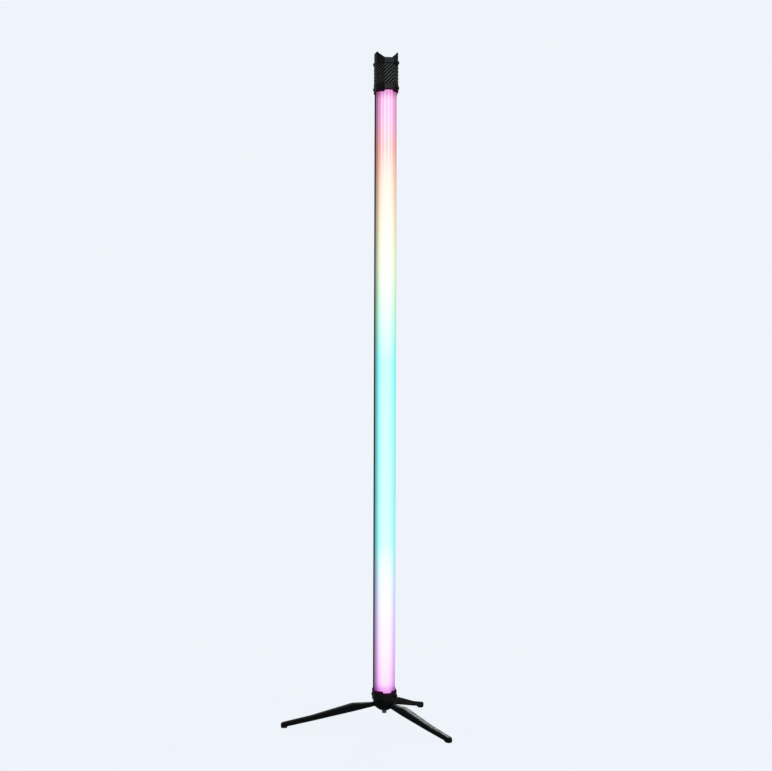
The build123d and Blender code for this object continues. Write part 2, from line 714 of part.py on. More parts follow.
def clamp_screw():
    """The captive 1/4-20 screw, with a fluted, slotted head under the hub."""
    head = rod(CLAMP_HEAD_R, SCREW_FOOT_Z, HUB_BOTTOM_Z + 0.5)
    head = chamfer(head.edges().sort_by(Axis.Z)[0], 0.6)
    flute = rod(0.45, SCREW_FOOT_Z - 1, HUB_BOTTOM_Z - 0.6, x=CLAMP_HEAD_R + 0.1)
    for k in range(CLAMP_FLUTES):
        head -= Rot(0, 0, k * 360 / CLAMP_FLUTES) * flute
    head -= block((-6, 6), (-0.7, 0.7), (SCREW_FOOT_Z - 1, SCREW_FOOT_Z + 2.0))
    shank = rod(THREAD_R, HUB_BOTTOM_Z, CAP_BOTTOM_Z + 7.5)
    groove = rod(5, HUB_TOP_Z - 1.6, HUB_TOP_Z - 0.7) - rod(2.5, 0, 100)
    tip = shank.edges().sort_by(Axis.Z)[-1]
    return chamfer(tip, 0.6) + head - groove


def screw_clip():
    """The snap ring that keeps the clamp screw in the hub."""
    ring = rod(CLIP_R, HUB_TOP_Z - 1.5, HUB_TOP_Z - 0.8) - rod(2.6, 0, 100)
    return ring - block((0, 8), (-1.6, 1.6), (0, 100))


def leg_section(reach, low, top, width):
    """The leg's six-sided cross-section at one reach, with its two upper corners cut off."""
    half = width / 2
    corner = min(LEG_CORNER, 0.2 * width)
    outline = [
        (-half, low),
        (half, low),
        (half, top - corner),
        (half - corner, top),
        (corner - half, top),
        (-half, top - corner),
    ]
    return Plane(origin=(reach, 0, 0), x_dir=(0, 1, 0), z_dir=(1, 0, 0)) * profile(outline)


def leg_pocket():
    """The hollow under a leg, between its two side walls."""
    first, last = POCKET_REACH
    knee, shin = LEG_STATIONS[2], LEG_STATIONS[3]
    side = [
        (first, -5.0),
        (first, knee[2] - LEG_TOP_WALL + 0.8),
        (knee[0], knee[2] - LEG_TOP_WALL),
        (shin[0], shin[2] - LEG_TOP_WALL - 0.4),
        (last, 10.0),
        (last, -5.0),
    ]
    plan = [
        (first - 2, 3.6),
        (KNEE_REACH, KNEE_WIDTH / 2 - LEG_WALL),
        (last + 2, TIP_WIDTH / 2 - LEG_WALL),
    ]
    plan += [(x, -y) for x, y in reversed(plan)]
    return across(side, Plane.XZ, 20.0) & upright(profile(plan), -10, 60)


def leg(azimuth):
    """A tapered cast leg, hollow underneath, with a round lug at the hub."""
    body = loft([leg_section(*station) for station in LEG_STATIONS], ruled=True)
    lug_end = LEG_STATIONS[0][0] + 0.5
    half = LUG_WIDTH / 2
    body += block((PIVOT_REACH, lug_end), (-half, half), (PIVOT_Z - LUG_R, PIVOT_Z + LUG_R))
    body += Pos(PIVOT_REACH, 0, PIVOT_Z) * Rot(90, 0, 0) * Cylinder(LUG_R, LUG_WIDTH)
    body -= leg_pocket()
    body -= Pos(PIVOT_REACH, 0, PIVOT_Z) * Rot(90, 0, 0) * Cylinder(PIN_HOLE_R, 40)
    body -= rod(2.0, 0, FOOT_PAD_TOP_Z + 2.6, x=FOOT_REACH - 5.6)
    return at_leg(body, azimuth)


def foot(azimuth):
    """The rubber pad plugged into a leg's tip, flat on the floor."""
    half = TIP_WIDTH / 2 - 0.9
    pad = block((FOOT_REACH - 11.0, FOOT_REACH - 0.4), (-half, half), (0, FOOT_PAD_TOP_Z))
    pad = fillet(pad.edges().filter_by(Axis.Z), 1.2)
    pad = chamfer(pad.faces().sort_by(Axis.Z)[0].edges(), 0.4)
    plug = rod(1.95, 1.0, FOOT_PAD_TOP_Z + 2.4, x=FOOT_REACH - 5.6)
    return at_leg(pad + plug, azimuth)


def all_parts():
    """Every node's name and shape."""
    parts = {
        "back_housing": back_housing(),
        "diffuser": diffuser(),
        "bottom_gasket": end_gasket(BOTTOM_PLUG_TOP_Z),
        "top_gasket": end_gasket(HOUSING_TOP_Z),
        "bottom_plug": bottom_plug(),
        "bottom_collar": bottom_collar(),
        "bottom_thread_insert": thread_insert(CAP_BOTTOM_Z, CAP_BOTTOM_Z + 8.9),
        "bottom_collar_screws": cap_screws(BOTTOM_SCREW_Z),
        "top_core": top_core(),
        "top_collar": top_collar(),
        "top_collar_screws": cap_screws(COLLAR_SCREW_Z),
        "grip_sleeve": grip_sleeve(),
        "crown": crown(),
        "crown_screws": cap_screws(CROWN_SCREW_Z),
        "top_thread_insert": thread_insert(CORE_TOP_Z - 9.9, CORE_TOP_Z),
        "led_board": led_board(),
        "led_emitters": led_emitters(),
        "battery_cells": battery_cells(),
        "cell_links": cell_links(),
        "battery_cradles": battery_cradles(),
        "driver_board": driver_board(),
        "driver_standoffs": driver_standoffs(),
        "driver_parts": driver_parts(),
        "battery_leads": wires(BATTERY_TOP_Z, DRIVER_BOARD_Z[0], [(-6.0, 8.0), (6.0, 8.0)]),
        "control_leads": wires(DRIVER_BOARD_Z[1], PANEL_BOTTOM_Z, [(-3.0, 10.5), (0.0, 10.5), (3.0, 10.5)]),
        "radio_board": radio_board(),
        "control_panel": control_panel(),
        "control_board": control_board(),
        "panel_posts": panel_posts(),
        "tact_switches": tact_switches(),
        "display_window": display_window(),
        "display_module": display_module(),
        "power_socket": power_socket(),
        "port_cover": port_cover(),
        "hub_body": hub_body(),
        "hub_pad": hub_pad(),
        "leg_pins": leg_pins(),
        "clamp_screw": clamp_screw(),
        "screw_clip": screw_clip(),
    }
    for name, z in zip(BUTTON_NAMES, button_heights()):
        parts[name] = button(z)
    for number, azimuth in enumerate(LEG_AZIMUTHS, start=1):
        parts[f"leg_{number}"] = leg(azimuth)
        parts[f"foot_{number}"] = foot(azimuth)
    return parts


def main():
    os.makedirs("parts", exist_ok=True)
    for name, shape in all_parts().items():
        export_step(shape, f"parts/{name}.step")


main()
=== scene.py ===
import json
import math

import bmesh
import bpy
from mathutils import Euler, Matrix, Vector


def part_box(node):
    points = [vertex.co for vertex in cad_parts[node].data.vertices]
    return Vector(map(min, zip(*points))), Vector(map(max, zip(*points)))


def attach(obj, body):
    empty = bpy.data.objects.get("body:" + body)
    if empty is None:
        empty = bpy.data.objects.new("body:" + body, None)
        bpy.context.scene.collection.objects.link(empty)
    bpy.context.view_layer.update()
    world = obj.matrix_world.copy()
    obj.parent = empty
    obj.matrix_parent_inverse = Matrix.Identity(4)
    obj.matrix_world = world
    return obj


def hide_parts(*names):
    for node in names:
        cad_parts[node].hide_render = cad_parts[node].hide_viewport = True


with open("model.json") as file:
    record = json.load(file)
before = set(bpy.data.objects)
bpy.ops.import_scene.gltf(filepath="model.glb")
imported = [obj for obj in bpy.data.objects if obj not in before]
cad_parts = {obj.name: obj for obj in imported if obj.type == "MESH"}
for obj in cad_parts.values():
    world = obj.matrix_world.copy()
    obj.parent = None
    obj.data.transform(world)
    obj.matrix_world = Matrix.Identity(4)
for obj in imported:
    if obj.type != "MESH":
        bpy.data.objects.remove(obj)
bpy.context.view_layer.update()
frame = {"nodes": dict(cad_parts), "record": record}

nodes = frame["nodes"]
scene = bpy.context.scene
MM = 0.001

# ---- Camera: distance and height in metres, angles in degrees, lens in millimetres ----
CAMERA_AZIMUTH = -15.5  # about the tube, from the front
CAMERA_DISTANCE = 3.30
CAMERA_HEIGHT = 0.684
CAMERA_TILT = -0.93
CAMERA_ROLL = 0.17
CAMERA_PAN = -0.025
FOCAL_LENGTH = 83.2
SENSOR_WIDTH = 36.0

# ---- The tube's section, in millimetres ----
TUBE_R = 19.6
DIFFUSER_WALL = 1.5
DIFFUSER_EDGE_Y = -1.05
INNER_RIB_X = 16.9
INNER_RIB_Y = (-3.4, -1.9)
DIFFUSER_STEPS = (96, 72)  # the faces round its outside and its inside
DIFFUSER_LEVELS = 24

# ---- The end caps' eight-sided outline, and the screws in two of its diagonal faces, in millimetres ----
CAP_APOTHEM = 21.3
CAP_WALL = 3.0
SCREW_ANGLES = (135, 315)
SCREW_SEAT = 22.3
SCREW_HEAD_R = 3.4
LUG_R = 4.45
LUG_Z = 1223.6
SCREW_FLUTES = 28
FLUTE_DEPTH = 0.22
FLUTE_WEAR = 0.6  # how worn the ridges between the flutes look, from 0 to 1

# ---- The collars' rims, notched at the front, in millimetres ----
BOTTOM_RIM_Z = 66.3
TOP_RIM_Z = 1170.4
NOTCH_DEPTH = 3.2
NOTCH_HALF_WIDTHS = (7.0, 9.0)

# Painted shade darkens the crown between these two heights.
CROWN_GROOVE_Z = (1221.9, 1223.2)  # the groove round the crown's lower edge

# ---- The grip's ribs, in millimetres ----
RIB_COUNT = 21
RIB_HEIGHT = 0.9
RIB_END = 1.0  # how far from the sleeve's two ends the ribs have their full height
RIB_RISE = 0.6  # the height over which the ribs' ends slope up to it
RIB_FLANK = (0.28, 0.72)  # where a rib's side starts and ends, from its groove to its top
GRIP_CORNER_R = 1.1
GRIP_INNER_CORNER_R = 0.6
GRIP_STEP = 0.5  # the distance between the mesh's points round the sleeve
GRIP_LEVELS = 72  # the rows of faces up it
GRIP_EDGE_ROUND = 0.5  # the height over which its two edges are drawn in, and by how much
GRIP_EDGE_INSET = 0.35
BAND_RISE = 0.55  # the height of the plain band at each end, as a share of a rib's
BAND_WEAR = 0.62  # how polished the plain band and the sleeve's inside look, where a rib's top is 1
INSIDE_WEAR = 0.3

# ---- Rounding the CAD pieces' edges ----
WELD_DISTANCE = 2e-6  # metres
FLAT_ANGLE = 0.6  # faces that meet at less than this, in degrees, become one
SHARP_ANGLE = 28  # edges that turn by more than this, in degrees, are rounded
ROUND_SEGMENTS = 2
ROUND_PROFILE = 0.6

# ---- The keys' marks and the display's bars, in millimetres ----
MARK_DEPTH = 0.12  # how thick the marks and bars are
MARK_SINK = 0.04  # how much of that is sunk in a key
MARK_ROUND = 0.04
POWER_RING = (1.05, 1.4, 130, 410)  # inner and outer radius, then first and last angle in degrees
POWER_STROKE = (0.36, 1.3)
POWER_STROKE_RISE = 1.0
MODE_RING = (0.95, 1.3, 0, 350)
MODE_RING_STEPS = 32
PLUS_SIZE = 2.6
MARK_WIDTH = 0.45
LEVEL_COUNT = 5
LEVEL_PITCH = 2.2
LEVEL_WIDTH = 6.4
LEVEL_TAPER = 0.5
LEVEL_HEIGHT = 1.3
LEVEL_DROP = 8.0  # the lowest bar, below the display's middle
CELL_PITCH = 2.6
CELL_SIZE = (1.8, 3.6)
CELL_RISE = 7.5  # the three cells, above the display's middle
DISPLAY_SINK = 0.02  # how much of the bars is sunk in the display

# ---- Studio: lengths in metres ----
BACKGROUND = (0.862, 0.905, 0.965, 1)
FILL_COLOUR = (0.9, 0.94, 1.0, 1)
FILL_STRENGTH = 0.11
FLOOR_RADIUS = 4.0
FLOOR_STEPS = 64
FLOOR_COLOUR = (0.05, 0.052, 0.055, 1)
FLOOR_LEVEL = 0.97  # how much light it gives off, which keeps it nearly as pale as the backdrop
FLOOR_FADE = (0.35, 1.1)  # how far from the middle the floor starts and finishes fading
LAMP_AIM = (0, 0, 0.6)
# Each lamp's name, place, width and height, and power in watts.
LAMPS = (
    ("key", (1.5, -3.05, 2.4), (1.6, 1.2), 36),
    ("side", (2.4, -1.0, 1.6), (0.7, 1.8), 4),
    ("back", (-2.2, 1.6, 1.6), (0.8, 1.6), 12),
    ("rear", (1.2, 3.1, 2.0), (1.0, 1.2), 36),
    ("top", (0, 0.2, 3.2), (1.6, 1.6), 12),
)

NOISE_SPAN = (0.3, 0.7)  # most of a noise texture's values lie between these


# ======== Node materials ========


class Shader:
    """A Principled material and the few nodes that its looks are made of."""

    def __init__(self, name, roughness=0.5, metallic=0.0, specular=0.5):
        self.material = bpy.data.materials.new(name)
        self.material.use_nodes = True
        self.tree = self.material.node_tree
        self.bsdf = self.tree.nodes["Principled BSDF"]
        self.bsdf.inputs["Roughness"].default_value = roughness
        self.bsdf.inputs["Metallic"].default_value = metallic
        self.bsdf.inputs["Specular IOR Level"].default_value = specular
        self.place = self.node("ShaderNodeTexCoord").outputs["Object"]

    @classmethod
    def over(cls, material):
        """More nodes for a material that is already made."""
        shader = cls.__new__(cls)
        shader.material = material
        shader.tree = material.node_tree
        shader.bsdf = shader.tree.nodes["Principled BSDF"]
        shader.place = shader.node("ShaderNodeTexCoord").outputs["Object"]
        return shader

    def node(self, kind, **settings):
        made = self.tree.nodes.new(kind)
        for key, value in settings.items():
            setattr(made, key, value)
        return made

    def link(self, output, target):
        self.tree.links.new(output, target)

    def stretched(self, scale):
        """The object's coordinates, multiplied along each axis."""
        mapping = self.node("ShaderNodeMapping")
        mapping.inputs["Scale"].default_value = scale
        self.link(self.place, mapping.inputs["Vector"])
        return mapping.outputs["Vector"]

    def noise(self, per_metre, detail=2.0, stretch=None):
        made = self.node("ShaderNodeTexNoise")
        made.inputs["Scale"].default_value = per_metre
        made.inputs["Detail"].default_value = detail
        self.link(self.stretched(stretch) if stretch else self.place, made.inputs["Vector"])
        return made.outputs["Fac"]

    def spread(self, per_metre, detail, low, high, stretch=None, span=NOISE_SPAN):
        """Noise that runs from low to high as its texture runs over the span."""
        return self.remap(self.noise(per_metre, detail, stretch), *span, low, high)

    def axes(self):
        """The object's X, Y and Z coordinates, in metres."""
        split = self.node("ShaderNodeSeparateXYZ")
        self.link(self.place, split.inputs["Vector"])
        return split.outputs

    def remap(self, value, low, high, to_low, to_high, smooth=False):
        made = self.node("ShaderNodeMapRange")
        made.interpolation_type = "SMOOTHSTEP" if smooth else "LINEAR"
        for key, number in zip(("From Min", "From Max", "To Min", "To Max"), (low, high, to_low, to_high)):
            made.inputs[key].default_value = number
        self.link(value, made.inputs["Value"])
        return made.outputs["Result"]

    def math(self, operation, first, second=None):
        made = self.node("ShaderNodeMath", operation=operation)
        for socket, value in zip(made.inputs, (first, second)):
            if isinstance(value, (int, float)):
                socket.default_value = value
            elif value is not None:
                self.link(value, socket)
        return made.outputs["Value"]

    def mix(self, factor, first, second, blend="MIX"):
        made = self.node("ShaderNodeMix", data_type="RGBA", blend_type=blend)
        for socket, value in zip((made.inputs[0], made.inputs[6], made.inputs[7]), (factor, first, second)):
            if isinstance(value, (int, float, tuple)):
                socket.default_value = value
            else:
                self.link(value, socket)
        return made.outputs[2]

    def scaled(self, colour, factor):
        """A colour, fixed or linked, times a factor."""
        made = self.node("ShaderNodeVectorMath", operation="SCALE")
        if isinstance(colour, tuple):
            made.inputs[0].default_value = colour
        else:
            self.link(colour, made.inputs[0])
        self.link(factor, made.inputs["Scale"])
        return made.outputs[0]

    def ramp(self, value, stops):
        """A colour ramp with (place, colour) stops."""
        made = self.node("ShaderNodeValToRGB")
        elements = made.color_ramp.elements
        while len(elements) < len(stops):
            elements.new(0.5)
        for element, (place, colour) in zip(elements, stops):
            element.position = place
            element.color = colour
        self.link(value, made.inputs["Fac"])
        return made.outputs["Color"]

    def bump(self, height, strength, depth):
        made = self.node("ShaderNodeBump")
        made.inputs["Strength"].default_value = strength
        made.inputs["Distance"].default_value = depth
        self.link(height, made.inputs["Height"])
        self.feed("Normal", made.outputs["Normal"])

    def attribute(self, name):
        return self.node("ShaderNodeAttribute", attribute_name=name).outputs["Fac"]

    def feed(self, socket, output):
        """Links an output to one of the Principled shader's sockets."""
        self.link(output, self.bsdf.inputs[socket])

    def darken(self, factor, shade, specular, low_specular):
        """Turns the base colour to a shade, and lowers the specular level, where the factor is 1."""
        plain = self.bsdf.inputs["Base Color"].links[0].from_socket
        self.feed("Base Color", self.mix(factor, plain, shade))
        self.feed("Specular IOR Level", self.remap(factor, 0, 1, specular, low_specular))


# ---- The caps' plastic, the painted shade in the crown's groove, and the painted glow in the collars' rims ----
CAP_DARK = 0.007
CAP_LIGHT = 0.014
CAP_SPECULAR = 0.34
# The painted shade in the crown's groove, and the specular level there.
PAINTED_GROOVE_SHADE = (0.002, 0.002, 0.003, 1)
GROOVE_SPECULAR = 0.03
# Painted glow: the diffuser's light painted as emission along the collars' rims, on plastic darkened under
# it.
PAINTED_GLOW_COLOUR = (0.042, 0.0, 0.022)
PAINTED_GLOW_BASE = (0.004, 0.001, 0.003, 1)
SPILL_WIDTH = 2.8 * MM
SPILL_CORE = 0.6  # the share of that width at full strength
SPILL_BACK_Y = -2.0 * MM  # where the glow starts to fade towards the housing


def grey(value, tint=0.0):
    """An opaque grey, a little bluer for a positive tint."""
    return (value * (1 - tint), value, value * (1 + tint), 1)


def with_wear(shader, colour, worn, amount):
    """Lightens the colour along softened edges, in patches."""
    patches = shader.spread(140, 4, 0.25, 1.0, span=(0.35, 0.65))
    wear = shader.math("MULTIPLY", shader.attribute("edge"), patches)
    return shader.mix(shader.math("MULTIPLY", wear, amount), colour, worn)


def moulded_plastic(name, dark, light, roughness=0.46, grain=1600):
    """Moulded plastic with a fine spark-eroded grain and faint handling marks."""
    s = Shader(name, specular=CAP_SPECULAR)
    cloud = s.spread(28, 5, 0, 1)
    colour = s.mix(cloud, grey(dark, 0.03), grey(light, 0.03))
    s.feed("Base Color", with_wear(s, colour, grey(light * 2.2, 0.03), 0.55))
    s.feed("Roughness", s.spread(55, 6, roughness - 0.07, roughness + 0.09))
    s.bump(s.noise(grain, 3), 0.35, 0.03 * MM)
    return s.material


def painted_glow_rim_plastic(name, rim_z, up):
    """A collar's plastic, with the light's glow painted as emission in the edge that follows its notched rim.

    up is 1 for the top collar, whose rim faces down, and -1 for the bottom one.
    """
    s = Shader.over(moulded_plastic(name, CAP_DARK, CAP_LIGHT))
    x, y, z = s.axes()
    narrow, wide = (w * MM for w in NOTCH_HALF_WIDTHS)
    edge_z = s.remap(s.math("ABSOLUTE", x), narrow, wide, (rim_z + up * NOTCH_DEPTH) * MM, rim_z * MM)
    from_edge = s.math("MULTIPLY", s.math("SUBTRACT", z, edge_z), up)
    near = s.remap(from_edge, SPILL_CORE * SPILL_WIDTH, SPILL_WIDTH, 1, 0, smooth=True)
    over_diffuser = s.remap(y, SPILL_BACK_Y, 0, 1, 0, smooth=True)
    lit = s.math("MULTIPLY", near, over_diffuser)
    # Painted glow: the plastic turns dark and loses its specular along the rim, and gives off the light's
    # colour there.
    s.darken(lit, PAINTED_GLOW_BASE, CAP_SPECULAR, 0)
    s.feed("Emission Color", s.scaled(PAINTED_GLOW_COLOUR, lit))
    s.bsdf.inputs["Emission Strength"].default_value = 1.0
    return s.material


def groove_painted_shade(name, low, high):
    """Moulded plastic that is darker between two heights, with painted shade in a groove."""
    s = Shader.over(moulded_plastic(name, CAP_DARK, CAP_LIGHT))
    z = s.axes()["Z"]
    above_low = s.math("GREATER_THAN", z, low * MM)
    below_high = s.math("LESS_THAN", z, high * MM)
    # Painted shade: near-black base colour and little specular inside the groove.
    s.darken(s.math("MULTIPLY", above_low, below_high), PAINTED_GROOVE_SHADE, CAP_SPECULAR, GROOVE_SPECULAR)
    return s.material


def soft_rubber(name, dark, light):
    """Matte rubber, dusty in patches."""
    s = Shader(name, specular=0.28)
    dust = s.spread(60, 6, 0, 1, span=(0.35, 0.7))
    colour = s.mix(dust, grey(dark, 0.02), grey(light, 0.02))
    s.feed("Base Color", with_wear(s, colour, grey(light * 1.7, 0.02), 0.4))
    s.feed("Roughness", s.spread(90, 4, 0.62, 0.8))
    s.bump(s.noise(2200, 2), 0.25, 0.02 * MM)
    return s.material


def ribbed_rubber(name):
    """The grip's rubber: polished along the ribs' tops, dull between them, with painted shade darkening the
    grooves.
    """
    s = Shader(name)
    height = s.attribute("rib")
    worn = s.math("MULTIPLY", height, s.spread(70, 5, 0.75, 1.1))
    # Painted shade: the colour runs from near black in the grooves to a worn grey on the ribs' tops.
    s.feed("Base Color", s.ramp(worn, [(0.1, grey(0.004)), (0.6, grey(0.045)), (1.0, grey(0.13, 0.02))]))
    s.feed("Roughness", s.remap(height, 0, 1, 0.75, 0.47))
    s.feed("Specular IOR Level", s.remap(height, 0, 1, 0.06, 0.5))
    s.bump(s.noise(2600, 2), 0.2, 0.02 * MM)
    return s.material


def powder_coat(name, dark, light, roughness=0.42, specular=0.5):
    """Powder coat on a casting: a fine orange-peel skin."""
    s = Shader(name, specular=specular)
    cloud = s.spread(35, 5, 0, 1)
    colour = s.mix(cloud, grey(dark, 0.05), grey(light, 0.05))
    s.feed("Base Color", with_wear(s, colour, grey(light * 2.6, 0.02), 0.6))
    s.feed("Roughness", s.spread(120, 5, roughness - 0.06, roughness + 0.1))
    s.bump(s.noise(1300, 4), 0.5, 0.03 * MM)
    return s.material


def anodised(name):
    """Black anodised extrusion with fine lines along its length."""
    s = Shader(name, specular=0.18)
    lines = s.noise(1, 4, stretch=(2600, 2600, 9))
    s.feed("Base Color", s.mix(lines, grey(0.007, 0.04), grey(0.018, 0.04)))
    s.feed("Roughness", s.spread(1, 3, 0.5, 0.66, stretch=(900, 900, 14)))
    s.bump(lines, 0.2, 0.01 * MM)
    return s.material


def metal(name, colour, tarnish, roughness, stretch):
    """Machined metal with tool marks. stretch says how close together they are along each axis."""
    s = Shader(name, metallic=1.0)
    marks = s.noise(1, 4, stretch=stretch)
    s.feed("Base Color", s.mix(s.spread(300, 5, 0, 1, span=(0.4, 0.75)), colour, tarnish))
    s.feed("Roughness", s.remap(marks, *NOISE_SPAN, roughness - 0.08, roughness + 0.12))
    s.bump(marks, 0.25, 0.01 * MM)
    return s.material


def circuit_board(name, dark, light):
    """Solder mask with the shadows of tracks under it."""
    s = Shader(name, roughness=0.38, specular=0.5)
    tracks = s.node("ShaderNodeTexBrick")
    tracks.inputs["Scale"].default_value = 260
    tracks.inputs["Mortar Size"].default_value = 0.06
    tracks.inputs["Color1"].default_value = dark
    tracks.inputs["Color2"].default_value = dark
    tracks.inputs["Mortar"].default_value = light
    turned = s.node("ShaderNodeMapping")
    turned.inputs["Rotation"].default_value = (math.radians(90), 0, 0)
    s.link(s.place, turned.inputs["Vector"])
    s.link(turned.outputs["Vector"], tracks.inputs["Vector"])
    s.feed("Base Color", s.mix(s.spread(90, 4, 0, 0.35), tracks.outputs["Color"], light))
    s.bump(tracks.outputs["Fac"], 0.15, 0.02 * MM)
    return s.material


def plain_plastic(name, colour, shade, roughness):
    """Coloured plastic of small inner pieces, with a little mottling."""
    s = Shader(name, specular=0.5)
    s.feed("Base Color", s.mix(s.spread(150, 4, 0, 1), colour, shade))
    s.feed("Roughness", s.spread(200, 3, roughness - 0.06, roughness + 0.1))
    s.bump(s.noise(900, 2), 0.2, 0.02 * MM)
    return s.material


def tinted_window(name):
    """The display's clear cover, with a few faint smears."""
    s = Shader(name, specular=0.5)
    s.bsdf.inputs["Transmission Weight"].default_value = 0.9
    s.bsdf.inputs["IOR"].default_value = 1.45
    s.feed("Base Color", s.mix(s.noise(80, 3), (0.45, 0.5, 0.55, 1), (0.6, 0.64, 0.68, 1)))
    s.feed("Roughness", s.spread(110, 5, 0.04, 0.16, span=(0.35, 0.7)))
    return s.material


# The light's colours at its sides, each with its share of the light's height, from foot to head.
# The middle is a longer exposure of the same.
GLOW = (
    (0.00, (0.75, 0.30, 0.80)),
    (0.05, (0.80, 0.45, 0.95)),
    (0.12, (0.75, 0.60, 1.00)),
    (0.18, (0.60, 0.75, 1.00)),
    (0.25, (0.30, 0.95, 1.00)),
    (0.55, (0.25, 0.95, 0.95)),
    (0.64, (0.50, 0.95, 0.65)),
    (0.71, (0.75, 0.90, 0.60)),
    (0.78, (0.85, 0.75, 0.50)),
    (0.85, (0.90, 0.55, 0.40)),
    (0.91, (0.90, 0.35, 0.35)),
    (0.96, (0.80, 0.30, 0.60)),
    (1.00, (0.75, 0.28, 0.60)),
)
GLOW_AIM = -9.5  # where the exposure is longest, in degrees from the front
GLOW_EXPOSURE = 3.5  # the exposure there, as against 1 at the sides
GLOW_CORE = (0.18, 0.84)  # it falls between these, the sines of the angle from there
RIM_ANGLES = (45, 82)  # the light dims between these, in degrees from the front
RIM_LEVEL = 0.38
STREAK_PITCH = 19.3  # degrees between the streaks, and how far they are turned
STREAK_OFFSET = 1.3
STREAK_HEIGHTS = (0.84, 0.91)  # the streaks appear between these shares of the light's height
STREAK_DEPTH = 0.35
END_EXPOSURE = 0.4  # the exposure at the light's two ends, as a share of the rest
END_REACH = 0.016  # how far that reaches, as a share of the light's height


def lit_diffuser(name, low, high):
    """Frosted plastic lit from inside: colour by height, paler towards the front, streaked near the head."""
    s = Shader(name, roughness=0.5, specular=0.25)
    s.feed("Roughness", s.spread(40, 4, 0.44, 0.56))
    s.bsdf.inputs["Base Color"].default_value = (0.05, 0.05, 0.05, 1)
    x, y, z = s.axes()
    angle = s.math("ARCTAN2", x, s.math("MULTIPLY", y, -1.0))

    height = s.remap(z, low, high, 0, 1)
    unlit = s.node("ShaderNodeInvert")
    s.link(s.ramp(height, [(place, colour + (1,)) for place, colour in GLOW]), unlit.inputs["Color"])
    off_aim = s.math("ABSOLUTE", s.math("SINE", s.math("SUBTRACT", angle, math.radians(GLOW_AIM))))
    turns = s.math("DIVIDE", s.math("ADD", angle, math.radians(STREAK_OFFSET)), math.radians(STREAK_PITCH))
    wave = s.math("COSINE", s.math("MULTIPLY", turns, 2 * math.pi))
    near_head = s.remap(height, *STREAK_HEIGHTS, 0, STREAK_DEPTH, smooth=True)
    streak = s.math("ADD", s.math("MULTIPLY", wave, near_head), 1.0)
    facing = s.remap(off_aim, *GLOW_CORE, GLOW_EXPOSURE, 1, smooth=True)
    to_end = s.math("MINIMUM", height, s.math("SUBTRACT", 1.0, height))
    near_end = s.remap(to_end, 0, END_REACH, END_EXPOSURE, 1, smooth=True)
    exposure = s.node("ShaderNodeGamma")
    s.link(unlit.outputs["Color"], exposure.inputs["Color"])
    s.link(s.math("MULTIPLY", s.math("MULTIPLY", facing, streak), near_end), exposure.inputs["Gamma"])
    glow = s.node("ShaderNodeInvert")
    s.link(exposure.outputs["Color"], glow.inputs["Color"])

    first, last = (math.radians(a) for a in RIM_ANGLES)
    rim = s.remap(s.math("ABSOLUTE", angle), first, last, 1, RIM_LEVEL, smooth=True)
    grain = s.spread(300, 2, 0.985, 1.015)
    s.feed("Emission Color", s.scaled(glow.outputs["Color"], s.math("MULTIPLY", rim, grain)))
    s.bsdf.inputs["Emission Strength"].default_value = 1.0
    return s.material


def lit_display(name):
    """Bright segments of the display."""
    s = Shader(name, roughness=0.4)
    s.feed("Base Color", s.mix(s.noise(500, 2), (0.02, 0.35, 0.6, 1), (0.03, 0.5, 0.75, 1)))
    s.feed("Emission Color", s.mix(s.noise(500, 2), (0.1, 0.6, 0.9, 1), (0.2, 0.75, 1.0, 1)))
    s.bsdf.inputs["Emission Strength"].default_value = 0.8
    return s.material


# ======== Mesh tools ========


def new_piece(name, mesh, body, slot, *replaced):
    """Adds a mesh as a named piece that rides on a body, and stands for the replaced nodes."""
    piece = bpy.data.objects.new(name, mesh)
    scene.collection.objects.link(piece)
    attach(piece, body)
    if replaced:
        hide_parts(*replaced)
    return piece


def body_of_node(node):
    for body, members in frame["record"]["behaviour"]["bodies"].items():
        if node in members:
            return body
    raise KeyError(node)


def slot_of_node(node):
    for entry in frame["record"]["subparts"]:
        if entry["node"] == node:
            return entry["material_slot"]
    raise KeyError(node)


def shade(mesh, angle=32):
    """Smooth shading with sharp edges kept above an angle."""
    for polygon in mesh.polygons:
        polygon.use_smooth = True
    mesh.set_sharp_from_angle(angle=math.radians(angle))


def softened(node, width, material):
    """A copy of a CAD node with its edges rounded, which stands for that node."""
    grid = bmesh.new()
    grid.from_mesh(nodes[node].data)
    bmesh.ops.remove_doubles(grid, verts=grid.verts, dist=WELD_DISTANCE)
    bmesh.ops.dissolve_limit(
        grid,
        angle_limit=math.radians(FLAT_ANGLE),
        verts=grid.verts,
        edges=grid.edges,
        use_dissolve_boundaries=False,
    )
    limit = math.radians(SHARP_ANGLE)
    sharp = [e for e in grid.edges if len(e.link_faces) == 2 and e.calc_face_angle(0) > limit]
    made = bmesh.ops.bevel(
        grid, geom=sharp, offset=width * MM, offset_type="OFFSET", segments=ROUND_SEGMENTS,
        profile=ROUND_PROFILE, affect="EDGES", clamp_overlap=True,
    )
    edge = grid.verts.layers.float.new("edge")
    for face in made["faces"]:
        for vert in face.verts:
            vert[edge] = 1.0
    mesh = bpy.data.meshes.new(node)
    grid.to_mesh(mesh)
    grid.free()
    for polygon in mesh.polygons:
        polygon.use_smooth = True
    mesh.materials.append(material)
    piece = new_piece(f"{node}_shape", mesh, body_of_node(node), slot_of_node(node), node)
    weighted = piece.modifiers.new("weighted", "WEIGHTED_NORMAL")
    weighted.keep_sharp = True


